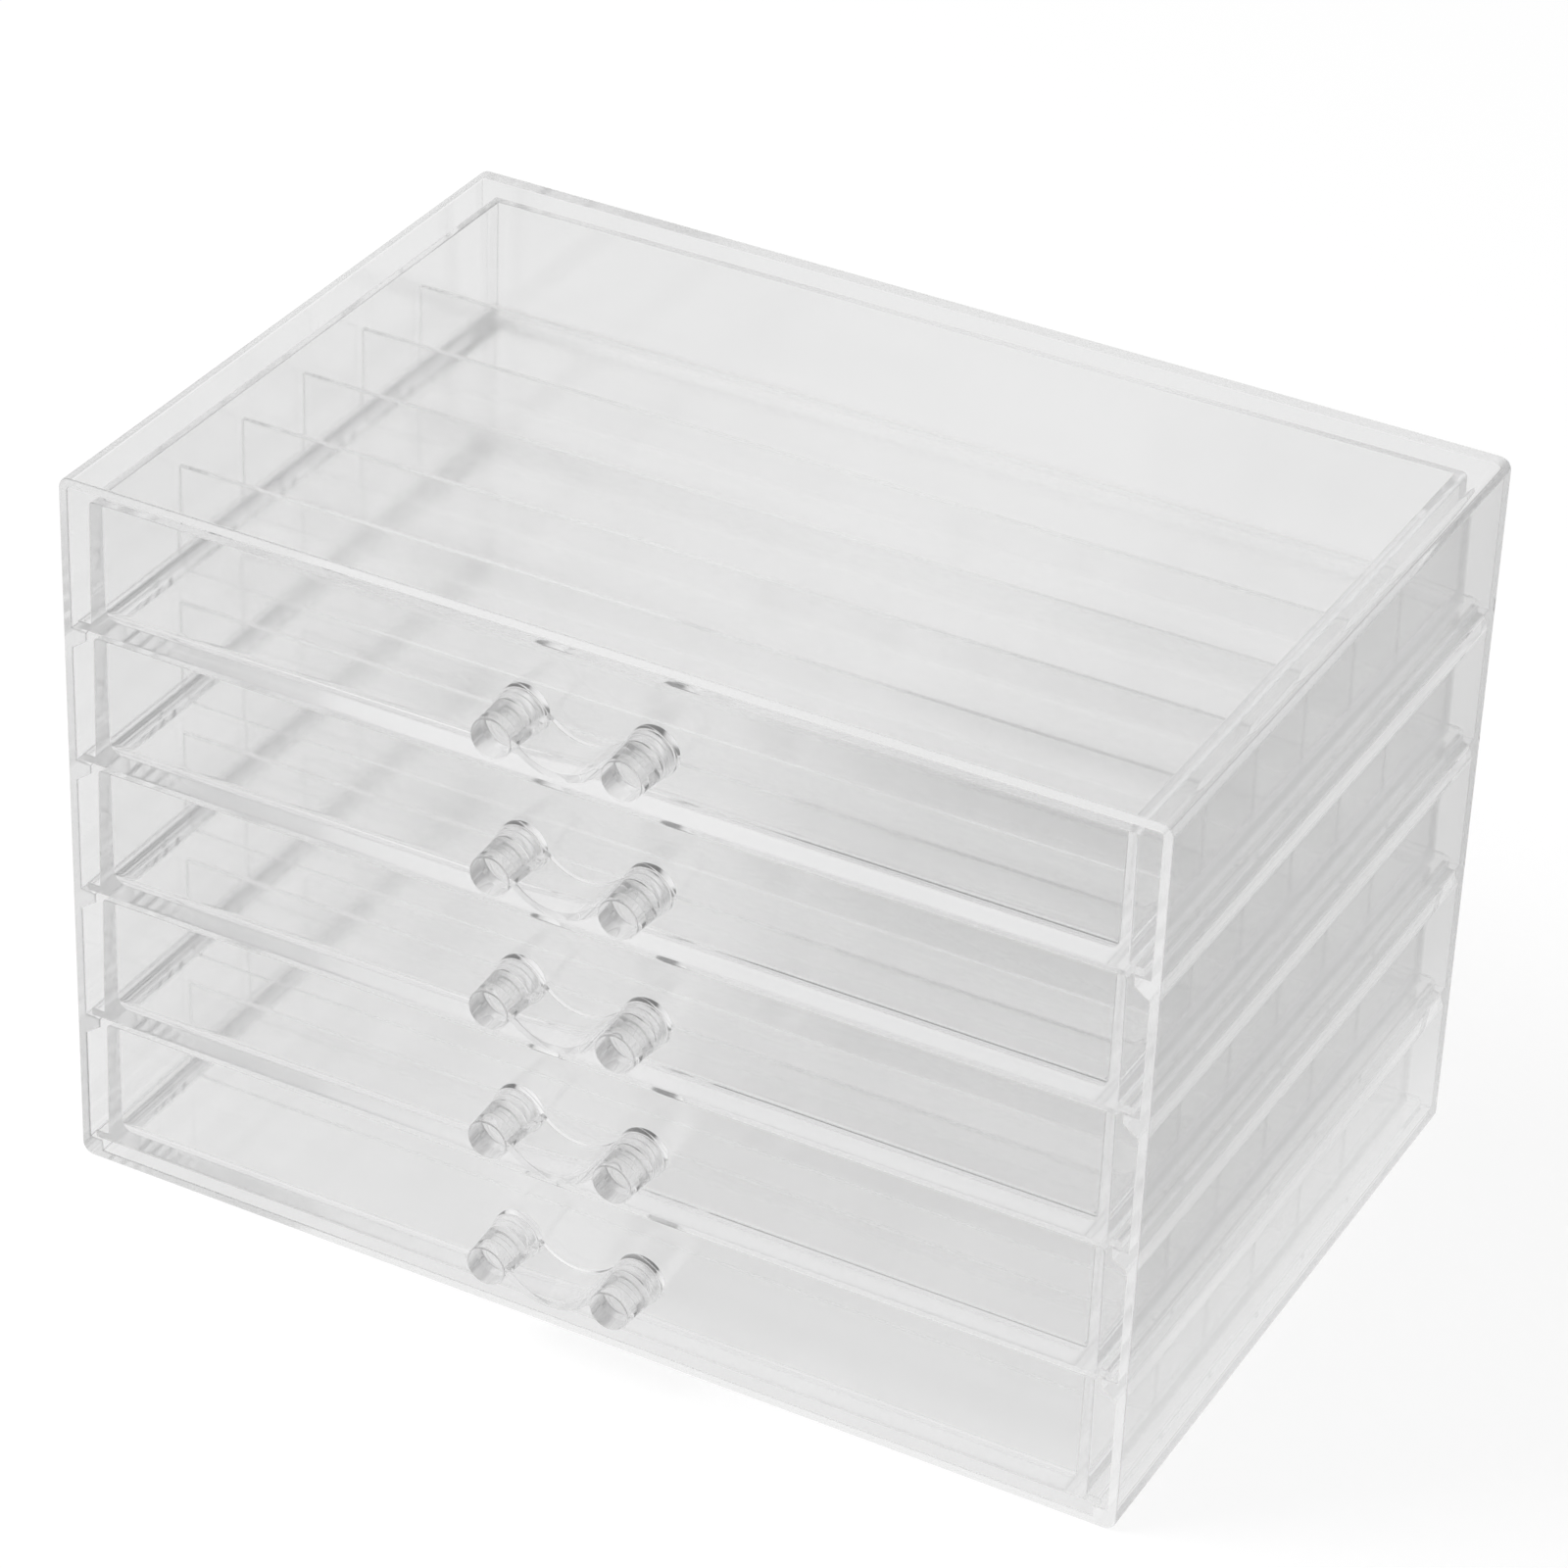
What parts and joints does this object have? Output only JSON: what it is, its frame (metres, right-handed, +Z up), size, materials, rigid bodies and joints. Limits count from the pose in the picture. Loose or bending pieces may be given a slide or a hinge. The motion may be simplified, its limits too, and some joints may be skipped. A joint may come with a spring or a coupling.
{
  "type": "jewelry drawer organizer",
  "caption": "Clear desktop organizer: an open-fronted casing with stacked pull-out drawers, each divided front to back into long compartments and pulled by a small clear handle.",
  "frame": {"origin": "middle of the casing's flat resting face", "axes": "+X to the right seen from the front, +Y from the open front to the closed back, +Z up"},
  "size_m": [0.235, 0.1678, 0.159],
  "materials": {
    "casing_clear": "water-clear polished polystyrene",
    "tray_clear": "water-clear polished polystyrene",
    "divider_clear": "water-clear polished sheet",
    "handle_clear": "water-clear polished moulding"
  },
  "bodies": {
    "casing_body": {"casing": "casing_clear"},
    "drawer_1_body": {"drawer_1": "tray_clear", "handle_1": "handle_clear", "divider_1_1": "divider_clear", "divider_1_2": "divider_clear", "divider_1_3": "divider_clear", "divider_1_4": "divider_clear", "divider_1_5": "divider_clear"},
    "drawer_2_body": {"drawer_2": "tray_clear", "handle_2": "handle_clear", "divider_2_1": "divider_clear", "divider_2_2": "divider_clear", "divider_2_3": "divider_clear", "divider_2_4": "divider_clear", "divider_2_5": "divider_clear"},
    "drawer_3_body": {"drawer_3": "tray_clear", "handle_3": "handle_clear", "divider_3_1": "divider_clear", "divider_3_2": "divider_clear", "divider_3_3": "divider_clear", "divider_3_4": "divider_clear", "divider_3_5": "divider_clear"},
    "drawer_4_body": {"drawer_4": "tray_clear", "handle_4": "handle_clear", "divider_4_1": "divider_clear", "divider_4_2": "divider_clear", "divider_4_3": "divider_clear", "divider_4_4": "divider_clear", "divider_4_5": "divider_clear"},
    "drawer_5_body": {"drawer_5": "tray_clear", "handle_5": "handle_clear", "divider_5_1": "divider_clear", "divider_5_2": "divider_clear", "divider_5_3": "divider_clear", "divider_5_4": "divider_clear", "divider_5_5": "divider_clear"}
  },
  "joints": [
    {"name": "drawer_1_slide", "type": "slide", "parent": "casing_body", "child": "drawer_1_body", "axis": [0, -1, 0], "range_m": [0, 0.115]},
    {"name": "drawer_2_slide", "type": "slide", "parent": "casing_body", "child": "drawer_2_body", "axis": [0, -1, 0], "range_m": [0, 0.115]},
    {"name": "drawer_3_slide", "type": "slide", "parent": "casing_body", "child": "drawer_3_body", "axis": [0, -1, 0], "range_m": [0, 0.115]},
    {"name": "drawer_4_slide", "type": "slide", "parent": "casing_body", "child": "drawer_4_body", "axis": [0, -1, 0], "range_m": [0, 0.115]},
    {"name": "drawer_5_slide", "type": "slide", "parent": "casing_body", "child": "drawer_5_body", "axis": [0, -1, 0], "range_m": [0, 0.115]}
  ]
}
